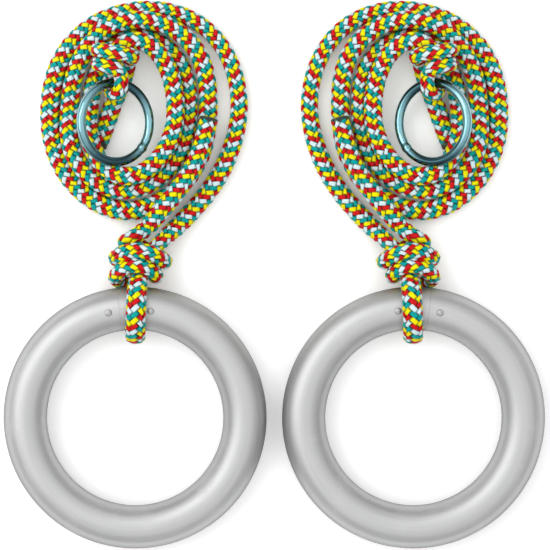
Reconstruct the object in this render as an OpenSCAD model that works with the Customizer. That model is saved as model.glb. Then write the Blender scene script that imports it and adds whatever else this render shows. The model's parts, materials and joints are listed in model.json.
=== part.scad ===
// A pair of gymnastics rings, laid out on a flat surface with each rope coiled.
// Each set is a bent plastic tube ring tied to a braided rope with a round turn
// knot, and a welded steel ring tied into the rope's far end. The right set is
// the left set mirrored.
// The origin lies on the surface, midway between the two hand rings.
// X runs from the left set to the right one, Y along the ropes, Z up.

/* [Hand rings] */
// Outside diameter of a hand ring
hand_ring_od = 170; // [164:1:178]
// Outside diameter of the bent tube
hand_tube_d = 28; // [26:0.5:30]
// Wall of the bent tube
hand_tube_wall = 3; // [2:0.25:4]
// Distance between the centres of the two hand rings
pair_spacing = 180; // [180:1:400]
// Gap where the two ends of the bent tube meet
butt_gap = 0.4; // [0.2:0.1:1]
// Distance of the butt joint from the middle of the rope's loop
butt_offset = 9.5; // [8:0.5:12]

/* [Joint plug and rivets] */
// Wall of the sleeve inside the tube's joint
plug_wall = 2.5; // [1.5:0.25:3.5]
// Length of the sleeve past each rivet
plug_overhang = 9; // [5:0.5:14]
// Radial clearance of the sleeve in the tube
plug_fit = 0.2; // [0.1:0.05:0.3]
// Distance of the rivet beside the butt joint from the middle of the loop
near_rivet_offset = 16.5; // [15:0.5:20]
// Distance of the other rivet from the middle of the loop
far_rivet_offset = 10.5; // [10:0.5:16]
// Diameter of a rivet's shank
rivet_d = 2.8; // [2:0.1:3.2]
// Diameter of a rivet's domed head
rivet_head_d = 4.4; // [3.8:0.1:6]
// Height of a rivet's domed head
rivet_head_h = 1.2; // [0.8:0.1:1.8]
// Thickness of the closing head inside the sleeve
rivet_tail_h = 1; // [0.6:0.1:1.5]
// Radial clearance of a rivet in its holes
rivet_fit = 0.1; // [0.05:0.05:0.2]

/* [Steel rings] */
// Diameter of the steel wire
steel_wire_d = 6; // [5:0.5:7]
// Inside diameter of the steel ring
steel_ring_id = 45; // [42:0.5:46]
// Slope of the steel ring where it leans on the coil, in degrees
steel_tilt = 32.5; // [30:0.5:34]
// Diameter of the weld bead
weld_d = 6.8; // [6.4:0.1:7]
// Place of the weld round the ring, in degrees from its right side
weld_angle = -39; // [-60:1:-20]

/* [Ropes] */
// Diameter of the slack rope
rope_d = 12; // [10:0.5:12]
// Diameter of the rope where it is drawn tight in the knot at the hand ring
ring_knot_d = 8.8; // [8:0.1:8.8]
// Diameter of the rope where it is drawn tight in the knot at the steel ring
eye_knot_d = 8.4; // [7.6:0.1:8.4]
// Width of the rope where it is pressed flat over the hand ring
loop_w = 13.5; // [9:0.5:14]
// Room between a loop of rope and the ring that turns in it
loop_clearance = 0.6; // [0.4:0.1:1]

/* [Hidden] */
$fn = 96;

ring_colour = [0.76, 0.765, 0.77];
plug_colour = [0.2, 0.2, 0.21];
rivet_colour = [0.66, 0.67, 0.68];
steel_colour = [0.45, 0.6, 0.66];
rope_colour = [0.75, 0.55, 0.42];

// Hand ring: the tube lies on the surface at its far side, and on the rope at its loop
tube_r = hand_tube_d / 2;
bore_r = tube_r - hand_tube_wall;
ring_r = hand_ring_od / 2 - tube_r;
hinge_z = tube_r + loop_clearance + ring_knot_d;
ring_tilt = asin((hinge_z - tube_r) / (2 * ring_r));
hinge_y = ring_r * cos(ring_tilt);
ring_z = (hinge_z + tube_r) / 2;

// Angles round the hand ring, from the middle of the loop towards the left
butt_angle = asin(butt_offset / ring_r);
butt_gap_angle = 2 * asin(butt_gap / 2 / ring_r);
near_rivet_angle = asin(near_rivet_offset / ring_r);
far_rivet_angle = -asin(far_rivet_offset / ring_r);
plug_overhang_angle = 2 * asin(plug_overhang / 2 / ring_r);
plug_r = bore_r - plug_fit;
plug_bore_r = plug_r - plug_wall;

// A domed head is the cap of a sphere
rivet_dome_r = (pow(rivet_head_d / 2, 2) + pow(rivet_head_h, 2)) / (2 * rivet_head_h);
// The closing head sits where its rim just clears the round bore of the sleeve
rivet_tail_top = sqrt(pow(plug_bore_r, 2) - pow(rivet_head_d / 2, 2));
head_lift = 0.05;

// Loop of rope round the hand ring, by angle about the hinge
loop_r = tube_r + loop_clearance + ring_knot_d / 2;
loop_over = 15;
loop_under = 270;

// Steel ring, hung from the middle of its wire in the rope's eye
steel_r = (steel_ring_id + steel_wire_d) / 2;
eye_at = [-12.5, 145.5, 25];
eye_r = steel_wire_d / 2 + loop_clearance + eye_knot_d / 2;
eye_over = 75;
eye_under = 330;

// Rope routes are measured from the hinge of the hand ring, on the surface
// Reach of the coil from its middle, and its height, at each eighth of a turn
coil_mid = [-6.8, 129.6];
turn_parts = 8;
coil_reach = [
  74.5, 74.5, 63.5, 54.3, 49.2, 56.8, 67.3, 60.5,
  54, 61, 57, 42.5, 36, 46.3, 54.2, 47.2,
  41, 47.5, 47.6, 28, 23.5, 32, 46, 38,
  33
];
coil_height = [
  6, 6, 6, 6, 6, 6, 6, 6,
  6, 12, 17.3, 13.6, 8.5, 15.2, 9.8, 8.5,
  6.5, 6.5, 6, 6, 10, 19.4, 20.4, 17.6,
  17
];
coil_rings_per_turn = 24;
coil_sides = 6;
tube_sides = 8;
knot_steps = 2;

// From under the hand ring twice round the lead, out beside it as the tail
ring_knot_route = [
  [0, 6, 4.5], [-3.5, 13.5, 5], [-9.5, 17, 8.5], [-12.5, 19.5, 16], [-11, 22.5, 25],
  [-4.5, 27, 30.5], [4, 27.5, 31], [11.5, 24, 26], [13.5, 20.5, 17.5], [11, 23, 8.5],
  [3, 27.5, 5], [-6, 30.5, 6.5], [-12, 31.5, 14], [-11.5, 33.5, 24], [-4, 36.7, 31],
  [5, 37, 32.5], [14, 34, 29], [19, 30, 20.5], [17.5, 31.5, 11], [9, 37, 5.2],
  [0, 41, 5.2], [-6, 42, 10.5], [-6.5, 43, 18.5], [-1.5, 45.5, 21], [4, 49, 18]
];
tail_route = [
  [4, 49, 18], [8.5, 53, 15.5], [13, 58.5, 15.8], [18, 64.5, 18], [23.5, 71, 19],
  [29.5, 78.5, 19], [35.3, 86.5, 19], [40, 94.7, 19], [43.2, 104, 19], [45.5, 113, 19],
  [47.5, 122, 19]
];
// From over the hand ring through the middle of the knot to the coil
lead_route = [
  [2, 24.5, 19], [7, 31.5, 18], [13, 39, 18], [19, 45.5, 14], [25.5, 51.5, 8.8],
  [32.5, 58.5, 6.4], [41, 67.5, 6.1], [50, 79, 6.1], [58, 93, 6.1], [63.8, 107.5, 6.1]
];
// From the end of the coil over its top to the knot at the steel ring
eye_bend_route = [
  [22, 154, 17.5], [17, 164, 19.5], [10, 171.5, 22], [2, 174.8, 24], [-6, 173.5, 26],
  [-11.5, 168, 26], [-13.5, 161, 26]
];
// Turns of the knot at the steel ring, and the way into and out of them
eye_turn_mid = [-12.5, 26.4];
eye_turn_x = 11.5;
eye_turn_z = 10.4;
eye_turn_y = 155.5;
eye_turn_pitch = 8.8;
eye_turn_from = 130;
eye_turn_to = 550;
eye_turn_step = 30;
eye_knot_in = [[-11, 154.3, 34.8]];
eye_knot_out = [[-18.5, 167.2, 17], [-8, 168.8, 14], [-4.4, 163.8, 8.8], [-5.2, 156.5, 6.2]];
eye_tail_route = [
  [-5.2, 156.5, 6.2], [-9, 146, 6.1], [-13, 137.5, 6.1], [-16.5, 128.5, 6.1], [-19, 119, 6.1],
  [-22.3, 111.5, 6.1], [-24.5, 106, 6.1]
];
// Length of the straight lead-in of a strand to a loop
loop_run = 3.5;

// Vectors and smooth curves
function unit(v) = v / norm(v);
function square_to(v, along) = unit(v - (v * along) * along);
function curve(a, b, c, d, t) =
  (2 * b + (c - a) * t + (2 * a - 5 * b + 4 * c - d) * t * t + (3 * b - a - 3 * c + d) * t * t * t) / 2;

// A smooth path through points, shaped at its ends by the points before and after it
function smooth(points, before, after, steps) =
  let (p = concat([before], points, [after]), last = len(p) - 2)
  [
    for (i = [1:last - 1]) for (k = [0:steps - 1]) curve(p[i - 1], p[i], p[i + 1], p[i + 2], k / steps),
    p[last]
  ];

// A point that makes a smooth path start or end along a heading
function lead_in(from, to, heading) = to - 2 * norm(to - from) * heading;

// Diameters that grow from one to another between two places on a path, in shares of its length
function swell(count, from, to, start, end) =
  [for (i = [0:count - 1]) from + (to - from) * min(1, max(0, (i / (count - 1) - start) / (end - start)))];
function even(count, size) = [for (i = [0:count - 1]) size];

// Headings along a path, with its first and last given, and one side vector for each
function headings(path, first, last) =
  let (end = len(path) - 1)
  [for (i = [0:end]) i == 0 ? first : i == end ? last : unit(path[i + 1] - path[i - 1])];
function side_vectors(heading) =
  let (start = abs(heading[0].z) > 0.9 ? [1, 0, 0] : [0, 0, 1])
  [
    for (
      i = 0, v = square_to(start, heading[0]);
      i < len(heading);
      i = i + 1, v = i < len(heading) ? square_to(v, heading[i]) : v
    ) v
  ];

// A closed tube along a path, with its own diameter at each ring of corners
module swept_tube(path, sizes, first, last, sides) {
  heading = headings(path, first, last);
  side = side_vectors(heading);
  rings = len(path);
  corners = [
    for (i = [0:rings - 1]) for (k = [0:sides - 1])
      let (turn = 360 * k / sides)
      path[i] + sizes[i] / 2 * (cos(turn) * side[i] + sin(turn) * cross(heading[i], side[i]))
  ];
  walls = [
    for (i = [0:rings - 2]) for (k = [0:sides - 1])
      let (a = i * sides + k, b = i * sides + (k + 1) % sides)
      each [[a, a + sides, b + sides], [a, b + sides, b]]
  ];
  top = (rings - 1) * sides;
  ends = [for (k = [1:sides - 2]) each [[0, k, k + 1], [top, top + k + 1, top + k]]];
  polyhedron(corners, concat(walls, ends));
}

// Points and headings of the two loops, by angle about the wire or tube inside them
function loop_point(angle) = [0, loop_r * cos(angle), hinge_z + loop_r * sin(angle)];
function loop_heading(angle) = [0, sin(angle), -cos(angle)];
eye_up = [sin(steel_tilt), 0, cos(steel_tilt)];
function eye_point(angle) = eye_at + eye_r * (cos(angle) * [0, 1, 0] + sin(angle) * eye_up);
function eye_heading(angle) = sin(angle) * [0, 1, 0] - cos(angle) * eye_up;

// The coil winds inwards: its reach is a smooth curve, and its height eases from part to part
function coil_reach_at(u) =
  let (end = len(coil_reach) - 1, i = min(floor(u), end - 1), b = coil_reach[i], c = coil_reach[i + 1])
  curve(
    i > 0 ? coil_reach[i - 1] : 2 * b - c, b, c,
    i < end - 1 ? coil_reach[i + 2] : 2 * c - b, u - i
  );
function coil_height_at(u) =
  let (i = min(floor(u), len(coil_height) - 2), share = (1 - cos(180 * (u - i))) / 2)
  coil_height[i] + (coil_height[i + 1] - coil_height[i]) * share;
function coil_point(u) =
  let (angle = 360 * u / turn_parts, reach = coil_reach_at(u))
  [coil_mid.x + reach * cos(angle), coil_mid.y + reach * sin(angle), coil_height_at(u)];
coil_parts = len(coil_reach) - 1;
coil_step = turn_parts / coil_rings_per_turn;
coil_turns = [for (u = [0:coil_step:coil_parts + coil_step / 2]) coil_point(min(u, coil_parts))];
heading_step = 0.001;
coil_start_heading = unit(coil_point(heading_step) - coil_point(0));
coil_end_heading = unit(coil_point(coil_parts) - coil_point(coil_parts - heading_step));
coil_start = coil_turns[0] - rope_d * coil_start_heading;
coil_end = coil_turns[len(coil_turns) - 1] + rope_d * coil_end_heading;
coil_path = concat([coil_start], coil_turns, [coil_end]);

// Least gap of the coil to itself, between points along it that are not neighbours
gap_parts = 4;
gap_points = [
  for (i = [0:len(coil_path) - 2]) for (k = [0:gap_parts - 1])
    coil_path[i] + (coil_path[i + 1] - coil_path[i]) * k / gap_parts
];
gap_skip = gap_parts * coil_rings_per_turn / 4;
coil_gap = min([
  for (i = [0:len(gap_points) - 1]) for (j = [i + gap_skip:1:len(gap_points) - 1])
    norm(gap_points[i] - gap_points[j])
]) - rope_d;
echo(str("Least gap of the coil to itself: ", coil_gap, " mm"));

// Whole routes of the drawn-in strands, from the loops' ends
under_end = loop_point(loop_under);
over_end = loop_point(loop_over);
ring_knot_points = concat([under_end], ring_knot_route);
lead_points = concat(
  [over_end, over_end + loop_run * loop_heading(loop_over)], lead_route, [coil_start]
);
eye_under_end = eye_point(eye_under);
eye_over_end = eye_point(eye_over);
eye_bend_points = concat(
  [coil_end], eye_bend_route,
  [eye_under_end - loop_run * eye_heading(eye_under), eye_under_end]
);
eye_turns = [
  for (a = [eye_turn_from:eye_turn_step:eye_turn_to]) [
    eye_turn_mid.x + eye_turn_x * cos(a),
    eye_turn_y + eye_turn_pitch * (a - 90) / 360,
    eye_turn_mid.y + eye_turn_z * sin(a)
  ]
];
eye_knot_points = concat(
  [eye_over_end, eye_over_end + loop_run * eye_heading(eye_over)], eye_knot_in, eye_turns, eye_knot_out
);

// Headings where two stretches of rope meet face to face
ring_knot_last = len(ring_knot_points) - 1;
tail_heading = unit(tail_route[1] - ring_knot_points[ring_knot_last - 1]);
eye_knot_last = len(eye_knot_points) - 1;
eye_tail_heading = unit(eye_tail_route[1] - eye_knot_points[eye_knot_last - 1]);

// The left set, as modelled, and the right set, its mirror image
module left_set() {
  translate([-pair_spacing / 2, 0, 0]) children();
}
module right_set() {
  translate([pair_spacing / 2, 0, 0]) mirror([1, 0, 0]) children();
}

// The hand ring's own plane: its middle, with the loop towards its top
module on_hand_ring() {
  translate([0, 0, ring_z]) rotate([ring_tilt, 0, 0]) children();
}
// Turned about the hand ring to a rivet's seat on the crest of the tube
module at_rivets() {
  for (angle = [near_rivet_angle, far_rivet_angle]) rotate([0, 0, 90 + angle]) translate([ring_r, 0, 0]) children();
}
module on_rope() {
  translate([0, hinge_y, 0]) children();
}
// The steel ring's own plane: its middle, with the eye towards its top
module on_steel_ring() {
  on_rope() translate(eye_at) rotate([0, steel_tilt, 0]) translate([0, -steel_r, 0]) children();
}

// A bent tube wall round the ring, from one angle to another about the middle of the loop
module bent_wall(outer, inner, from, to) {
  rotate([0, 0, 90 + from]) rotate_extrude(angle = to - from) translate([ring_r, 0]) difference() {
    circle(r = outer);
    circle(r = inner);
  }
}

// A loop of rope about the X axis, flat or round in section, between two angles from Y
module rope_loop(radius, width, thickness, from, to) {
  rotate([0, 90, 0]) rotate([0, 0, 90 + from]) rotate_extrude(angle = to - from) translate([radius, 0]) {
    if (width > thickness) square([thickness, width - thickness], center = true);
    for (end = [-1, 1]) translate([0, end * max(0, width - thickness) / 2]) circle(d = thickness);
  }
}

module ring_tube() {
  color(ring_colour) on_hand_ring() difference() {
    bent_wall(tube_r, bore_r, butt_angle + butt_gap_angle / 2, butt_angle - butt_gap_angle / 2 + 360);
    at_rivets() cylinder(r = rivet_d / 2 + rivet_fit, h = tube_r + rivet_head_h);
  }
}

module joint_plug() {
  color(plug_colour) on_hand_ring() difference() {
    bent_wall(
      plug_r, plug_bore_r, far_rivet_angle - plug_overhang_angle, near_rivet_angle + plug_overhang_angle
    );
    at_rivets() cylinder(r = rivet_d / 2 + rivet_fit, h = tube_r);
  }
}

module rivets() {
  color(rivet_colour) on_hand_ring() at_rivets() {
    intersection() {
      translate([0, 0, tube_r + head_lift + rivet_head_h - rivet_dome_r]) sphere(r = rivet_dome_r);
      translate([0, 0, tube_r + head_lift]) cylinder(d = rivet_head_d, h = rivet_head_h);
    }
    translate([0, 0, rivet_tail_top - rivet_tail_h / 2])
      cylinder(d = rivet_d, h = tube_r + head_lift + rivet_head_h / 2 - rivet_tail_top + rivet_tail_h / 2);
    translate([0, 0, rivet_tail_top - rivet_tail_h]) cylinder(d = rivet_head_d, h = rivet_tail_h - head_lift);
  }
}

module steel_ring() {
  color(steel_colour) on_steel_ring() {
    rotate_extrude() translate([steel_r, 0]) circle(d = steel_wire_d);
    rotate([0, 0, weld_angle]) translate([steel_r, 0, 0]) sphere(d = weld_d);
  }
}

module ring_loop() {
  color(rope_colour) on_rope() translate([0, 0, hinge_z])
    rope_loop(loop_r, loop_w, ring_knot_d, loop_over, loop_under);
}

module ring_knot() {
  path = smooth(
    ring_knot_points, lead_in(under_end, ring_knot_points[1], loop_heading(loop_under) * -1),
    tail_route[1], knot_steps
  );
  color(rope_colour) on_rope() swept_tube(
    path, even(len(path), ring_knot_d), loop_heading(loop_under) * -1, tail_heading, tube_sides
  );
}

module rope_tail() {
  count = len(tail_route);
  end_heading = unit(tail_route[count - 1] - tail_route[count - 2]);
  color(rope_colour) on_rope() swept_tube(
    tail_route, swell(count, ring_knot_d, rope_d, 0.05, 0.3), tail_heading, end_heading, tube_sides
  );
}

module rope_lead() {
  count = len(lead_points);
  color(rope_colour) on_rope() swept_tube(
    lead_points, swell(count, ring_knot_d, rope_d, 0.35, 0.6),
    loop_heading(loop_over), coil_start_heading, tube_sides
  );
}

module rope_coil() {
  color(rope_colour) on_rope() swept_tube(
    coil_path, even(len(coil_path), rope_d), coil_start_heading, coil_end_heading, coil_sides
  );
}

module eye_bend() {
  count = len(eye_bend_points);
  color(rope_colour) on_rope() swept_tube(
    eye_bend_points, swell(count, rope_d, eye_knot_d, 0.4, 0.7),
    coil_end_heading, eye_heading(eye_under), tube_sides
  );
}

module eye_knot() {
  start_heading = eye_heading(eye_over);
  path = smooth(
    eye_knot_points, lead_in(eye_over_end, eye_knot_points[1], start_heading), eye_tail_route[1], knot_steps
  );
  color(rope_colour) on_rope() swept_tube(
    path, even(len(path), eye_knot_d), start_heading, eye_tail_heading, tube_sides
  );
}

module eye_loop() {
  color(rope_colour) on_rope() translate(eye_at) rotate([0, steel_tilt, 0])
    rope_loop(eye_r, eye_knot_d, eye_knot_d, eye_over, eye_under);
}

module eye_tail() {
  count = len(eye_tail_route);
  end_heading = unit(eye_tail_route[count - 1] - eye_tail_route[count - 2]);
  color(rope_colour) on_rope() swept_tube(
    eye_tail_route, swell(count, eye_knot_d, rope_d, 0, 0.35), eye_tail_heading, end_heading, tube_sides
  );
}

left_set() ring_tube();  // left_ring_tube
left_set() joint_plug();  // left_joint_plug
left_set() rivets();  // left_rivets
left_set() steel_ring();  // left_steel_ring
left_set() ring_loop();  // left_ring_loop
left_set() ring_knot();  // left_ring_knot
left_set() rope_tail();  // left_rope_tail
left_set() rope_lead();  // left_rope_lead
left_set() rope_coil();  // left_rope_coil
left_set() eye_bend();  // left_eye_bend
left_set() eye_knot();  // left_eye_knot
left_set() eye_loop();  // left_eye_loop
left_set() eye_tail();  // left_eye_tail
right_set() ring_tube();  // right_ring_tube
right_set() joint_plug();  // right_joint_plug
right_set() rivets();  // right_rivets
right_set() steel_ring();  // right_steel_ring
right_set() ring_loop();  // right_ring_loop
right_set() ring_knot();  // right_ring_knot
right_set() rope_tail();  // right_rope_tail
right_set() rope_lead();  // right_rope_lead
right_set() rope_coil();  // right_rope_coil
right_set() eye_bend();  // right_eye_bend
right_set() eye_knot();  // right_eye_knot
right_set() eye_loop();  // right_eye_loop
right_set() eye_tail();  // right_eye_tail
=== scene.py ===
"""The looks of a pair of gymnastics rings, laid out with their ropes coiled.

Each set is a bent tube ring in silver plastic, tied by a loop and a round turn knot to a braided
rope, whose far end is tied into a welded steel ring. Every piece is in metres, in the frame of
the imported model. The left set is built from its own sizes, and the right set is the left one
mirrored across the plane X = 0.
"""

import json
import logging
import math
from dataclasses import dataclass
from enum import Enum
from typing import Any, ClassVar

import bpy
import numpy as np
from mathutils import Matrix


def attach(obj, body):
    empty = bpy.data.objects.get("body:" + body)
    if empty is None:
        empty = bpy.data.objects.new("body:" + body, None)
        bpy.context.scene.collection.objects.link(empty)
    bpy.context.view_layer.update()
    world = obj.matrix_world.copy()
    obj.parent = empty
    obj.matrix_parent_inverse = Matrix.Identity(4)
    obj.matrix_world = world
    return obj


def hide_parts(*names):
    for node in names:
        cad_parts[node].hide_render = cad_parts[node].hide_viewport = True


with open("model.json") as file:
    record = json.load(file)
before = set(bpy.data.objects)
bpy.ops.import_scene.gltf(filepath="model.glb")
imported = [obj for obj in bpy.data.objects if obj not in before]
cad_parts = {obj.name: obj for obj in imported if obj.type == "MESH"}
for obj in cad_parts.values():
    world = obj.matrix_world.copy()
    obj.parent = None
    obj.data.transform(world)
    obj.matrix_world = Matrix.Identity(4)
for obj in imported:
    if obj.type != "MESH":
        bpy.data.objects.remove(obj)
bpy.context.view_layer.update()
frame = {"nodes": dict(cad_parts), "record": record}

log = logging.getLogger("gymnastics_rings")
Array = np.ndarray
Socket = bpy.types.NodeSocket
Colour = tuple[float, float, float, float]
Span = tuple[float, float]

MM = 0.001
FIBRE_MAP = "Fibres"
TUBE_MAP = "Tube"
BAKE_MAP = "OFBake"


class Side(Enum):
    """Which of the two sets a piece belongs to."""

    LEFT = "left"
    RIGHT = "right"

    @property
    def across(self) -> float:
        """The factor on X that turns a point of the left set into this side's."""
        return 1.0 if self is Side.LEFT else -1.0

    def named(self, piece: str) -> str:
        """The name of this side's piece, node, body or joint."""
        return f"{self.value}_{piece}"


class Slot(Enum):
    """The record's material slots, one for each kind of piece."""

    RING = "ring_plastic"
    RIVET = "rivet_steel"
    STEEL = "zinc_steel"
    ROPE = "rope_fabric"


class Yarn(Enum):
    """The rope's yarn colours, in the order in which they follow each other along it."""

    RED = 0
    YELLOW = 1
    TEAL = 2
    WHITE = 3


class NodeSheet:
    """A node tree, with short ways to add nodes and to join their sockets."""

    def __init__(self, tree: bpy.types.NodeTree) -> None:
        """Keep the tree that the nodes go into."""
        self.tree = tree

    @classmethod
    def blank(cls, owner: bpy.types.Material | bpy.types.World) -> "NodeSheet":
        """Clear the nodes of a material or a world.

        Args:
            owner: The material or the world.

        Returns:
            The sheet of its empty tree.
        """
        owner.use_nodes = True
        owner.node_tree.nodes.clear()
        return cls(owner.node_tree)

    def add(self, kind: str, sockets: dict[Any, Any] | None = None, **settings: Any) -> bpy.types.Node:
        """Add one node.

        Args:
            kind: The node's type, without its ShaderNode prefix.
            sockets: Values, or sockets to join, by the input's name or number.
            **settings: The node's own properties.

        Returns:
            The new node.
        """
        node = self.tree.nodes.new(f"ShaderNode{kind}")
        for name, value in settings.items():
            setattr(node, name, value)
        for key, value in (sockets or {}).items():
            if isinstance(value, Socket):
                self.tree.links.new(value, node.inputs[key])
            else:
                node.inputs[key].default_value = value
        return node

    def math(self, operation: str, *values: Any, clamp: bool = False) -> Socket:
        """Work out one number.

        Args:
            operation: The Math node's operation.
            *values: Its numbers, or the sockets that give them.
            clamp: Whether the result is kept between 0 and 1.

        Returns:
            The socket that holds the result.
        """
        node = self.add("Math", dict(enumerate(values)), operation=operation, use_clamp=clamp)
        return node.outputs[0]

    def mix(self, share: Any, first: Any, second: Any) -> Socket:
        """Blend two colours.

        Args:
            share: How much of the second colour shows, from 0 to 1.
            first: The colour, or its socket, at 0.
            second: The colour, or its socket, at 1.

        Returns:
            The socket that holds the blend.
        """
        node = self.add("Mix", {0: share, 6: first, 7: second}, data_type="RGBA")
        return node.outputs[2]

    def blend(self, share: float, first: Socket, second: Socket) -> Socket:
        """Blend two numbers by a fixed share of the second, and give the result's socket."""
        rest = self.math("MULTIPLY", first, 1.0 - share)
        return self.math("MULTIPLY_ADD", second, share, rest)

    def from_middle(self, share: Socket) -> Socket:
        """Turn a share from 0 to 1 into its distance from the middle, which is 1 at both ends."""
        return self.math("ABSOLUTE", self.math("MULTIPLY_ADD", share, 2.0, -1.0))

    def range(self, value: Any, span: Span, low: float = 0.0, high: float = 1.0) -> Socket:
        """Spread a value over a range, smoothly and within it.

        Args:
            value: The value, or its socket.
            span: The values that give low and high.
            low: The result at and below the span's start.
            high: The result at and above its end.

        Returns:
            The socket that holds the result.
        """
        sockets = {0: value, 1: span[0], 2: span[1], 3: low, 4: high}
        return self.add("MapRange", sockets, interpolation_type="SMOOTHSTEP").outputs[0]

    def noise(self, place: Socket, scale: Any, detail: float) -> Socket:
        """Add a noise of a size, and give its value's socket."""
        return self.add("TexNoise", {"Vector": place, "Scale": scale, "Detail": detail}).outputs[0]

    def streaks(self, place: Socket, scale: tuple[float, float, float], detail: float) -> Socket:
        """Add a noise with a size of its own along each axis, and give its value's socket."""
        drawn = self.add("VectorMath", {0: place, 1: scale}, operation="MULTIPLY").outputs[0]
        return self.noise(drawn, 1.0, detail)

    def bump(self, height: Socket, strength: float, distance: float) -> Socket:
        """Turn a height in shares of a distance into a normal, and give its socket."""
        sockets = {"Height": height, "Strength": strength, "Distance": distance}
        return self.add("Bump", sockets).outputs[0]

    def map(self, name: str) -> Socket:
        """Read one of the mesh's own maps, and give its socket."""
        return self.add("UVMap", uv_map=name).outputs[0]


@dataclass(frozen=True)
class Effect:
    """An effect that several finishes share, made once as a node group.

    Attributes:
        name: The group's name.
        inputs: Name and socket type of each of its inputs.
        outputs: Names of its outputs, which are numbers.
    """

    name: str
    inputs: tuple[tuple[str, str], ...]
    outputs: tuple[str, ...]

    def wire(self, sheet: NodeSheet, given: dict[str, Socket]) -> dict[str, Socket]:
        """Join the nodes inside the group.

        Args:
            sheet: The group's own tree.
            given: The group's inputs by name.

        Returns:
            The sockets that feed the group's outputs, by name.
        """
        raise NotImplementedError

    def tree(self) -> bpy.types.NodeTree:
        """Find the node group, or make it the first time.

        Returns:
            The group's tree.
        """
        found = bpy.data.node_groups.get(self.name)
        if found:
            return found
        made = bpy.data.node_groups.new(self.name, "ShaderNodeTree")
        for name, kind in self.inputs:
            made.interface.new_socket(name, in_out="INPUT", socket_type=kind)
        for name in self.outputs:
            made.interface.new_socket(name, in_out="OUTPUT", socket_type="NodeSocketFloat")
        sheet = NodeSheet(made)
        entry = made.nodes.new("NodeGroupInput")
        close = made.nodes.new("NodeGroupOutput")
        given = {name: entry.outputs[name] for name, _ in self.inputs}
        for name, socket in self.wire(sheet, given).items():
            made.links.new(socket, close.inputs[name])
        return made

    def place(self, sheet: NodeSheet, values: dict[str, Any]) -> dict[str, Socket]:
        """Place the effect in a material.

        Args:
            sheet: The material's tree.
            values: Values or sockets for the group's inputs, by name.

        Returns:
            The group's output sockets by name.
        """
        node = sheet.add("Group", values, node_tree=self.tree())
        return {name: node.outputs[name] for name in self.outputs}


class FibreLines(Effect):
    """Filaments side by side along a yarn, with painted shade where it dips under its neighbours at both
    ends of a float and along its long edges.

    Attributes:
        wander: How far a filament wanders across the yarn, as a share of its width.
        wander_scale: How often it does, across the yarn and along it.
        clump_scale: How often filaments bunch up, across the yarn and along it.
        clump_share: What the bunches give to the height, as a share of it.
        clump_span: The noise between two bunches, and in one.
        end_shade_span: Where the painted shade at a float's end starts and where it is full, from 0 in its
            middle to 1 at its end.
        edge_shade_span: The same for the painted shade along its long edges.
        edge_shade_share: How dark the painted shade along the edges gets, as a share of the one at its
            ends.
    """

    wander = 0.05
    wander_scale = (1.5, 1.2, 0.0)
    clump_scale = (6.0, 1.3, 0.0)
    clump_share = 0.4
    clump_span = (0.3, 0.7)
    end_shade_span = (0.55, 1.0)
    edge_shade_span = (0.7, 1.0)
    edge_shade_share = 0.25

    def wire(self, sheet: NodeSheet, given: dict[str, Socket]) -> dict[str, Socket]:
        """Join the filaments' nodes; see Effect.wire."""
        place = given["Place"]
        across, length, _ = sheet.add("SeparateXYZ", {0: place}).outputs
        drift = sheet.streaks(place, self.wander_scale, detail=2.0)
        turn = sheet.math("MULTIPLY_ADD", drift, self.wander, across)
        turn = sheet.math("MULTIPLY", turn, given["Filaments"])
        ridge = sheet.math("SINE", sheet.math("MULTIPLY", turn, math.tau))
        ridge = sheet.range(ridge, (-1.0, 1.0))
        clump = sheet.streaks(place, self.clump_scale, detail=3.0)
        height = sheet.blend(self.clump_share, ridge, clump)
        # Painted shade: a mask that is 1 where the float tucks under at its ends, and partly along its long
        # edges.
        on_float = sheet.math("FRACT", sheet.math("MULTIPLY", length, 0.5))
        ends = sheet.range(sheet.from_middle(on_float), self.end_shade_span)
        edges = sheet.range(sheet.from_middle(across), self.edge_shade_span, 0.0, self.edge_shade_share)
        tuck_shade = sheet.math("MAXIMUM", ends, edges)
        return {"Height": height, "Clump": sheet.range(clump, self.clump_span), "TuckShade": tuck_shade}


class DrawLines(Effect):
    """Fine lines that a die leaves along a drawn tube or wire.

    Attributes:
        fine_scale: How often the fine lines change, along the tube and round it, in times a metre.
        broad_scale: The same for the broad lines.
        broad_share: What the broad lines give, as a share.
        contrast: The noise in a line's valley, and on its crest.
    """

    fine_scale = (9.0, 2600.0, 1.0)
    broad_scale = (14.0, 420.0, 1.0)
    broad_share = 0.55
    contrast = (0.32, 0.68)

    def wire(self, sheet: NodeSheet, given: dict[str, Socket]) -> dict[str, Socket]:
        """Join the draw lines' nodes; see Effect.wire."""
        fine = sheet.streaks(given["Place"], self.fine_scale, detail=4.0)
        broad = sheet.streaks(given["Place"], self.broad_scale, detail=3.0)
        return {"Lines": sheet.range(sheet.blend(self.broad_share, fine, broad), self.contrast)}


class Scuffs(Effect):
    """Rubbed patches and hairline scratches from use.

    Attributes:
        patch_span: The noise at a patch's edge, and where it is rubbed most.
        scratch_scale: How much finer the scratches are than the patches.
        scratch_width: Width of a scratch, as a share of the space between two.
        grain_scale: How much finer the grain is than the patches.
    """

    patch_span = (0.5, 0.72)
    scratch_scale = 6.0
    scratch_width = 0.035
    grain_scale = 40.0

    def wire(self, sheet: NodeSheet, given: dict[str, Socket]) -> dict[str, Socket]:
        """Join the scuffs' nodes; see Effect.wire."""
        place, scale = given["Place"], given["Scale"]
        patch = sheet.range(sheet.noise(place, scale, detail=5.0), self.patch_span)
        cell = {"Vector": place, "Scale": sheet.math("MULTIPLY", scale, self.scratch_scale)}
        crack = sheet.add("TexVoronoi", cell, feature="DISTANCE_TO_EDGE").outputs[0]
        scratch = sheet.range(crack, (0.0, self.scratch_width), 1.0, 0.0)
        scratch = sheet.math("MULTIPLY", scratch, patch)
        grain = sheet.noise(place, sheet.math("MULTIPLY", scale, self.grain_scale), detail=2.0)
        return {"Patch": patch, "Scratch": scratch, "Grain": grain}


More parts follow.
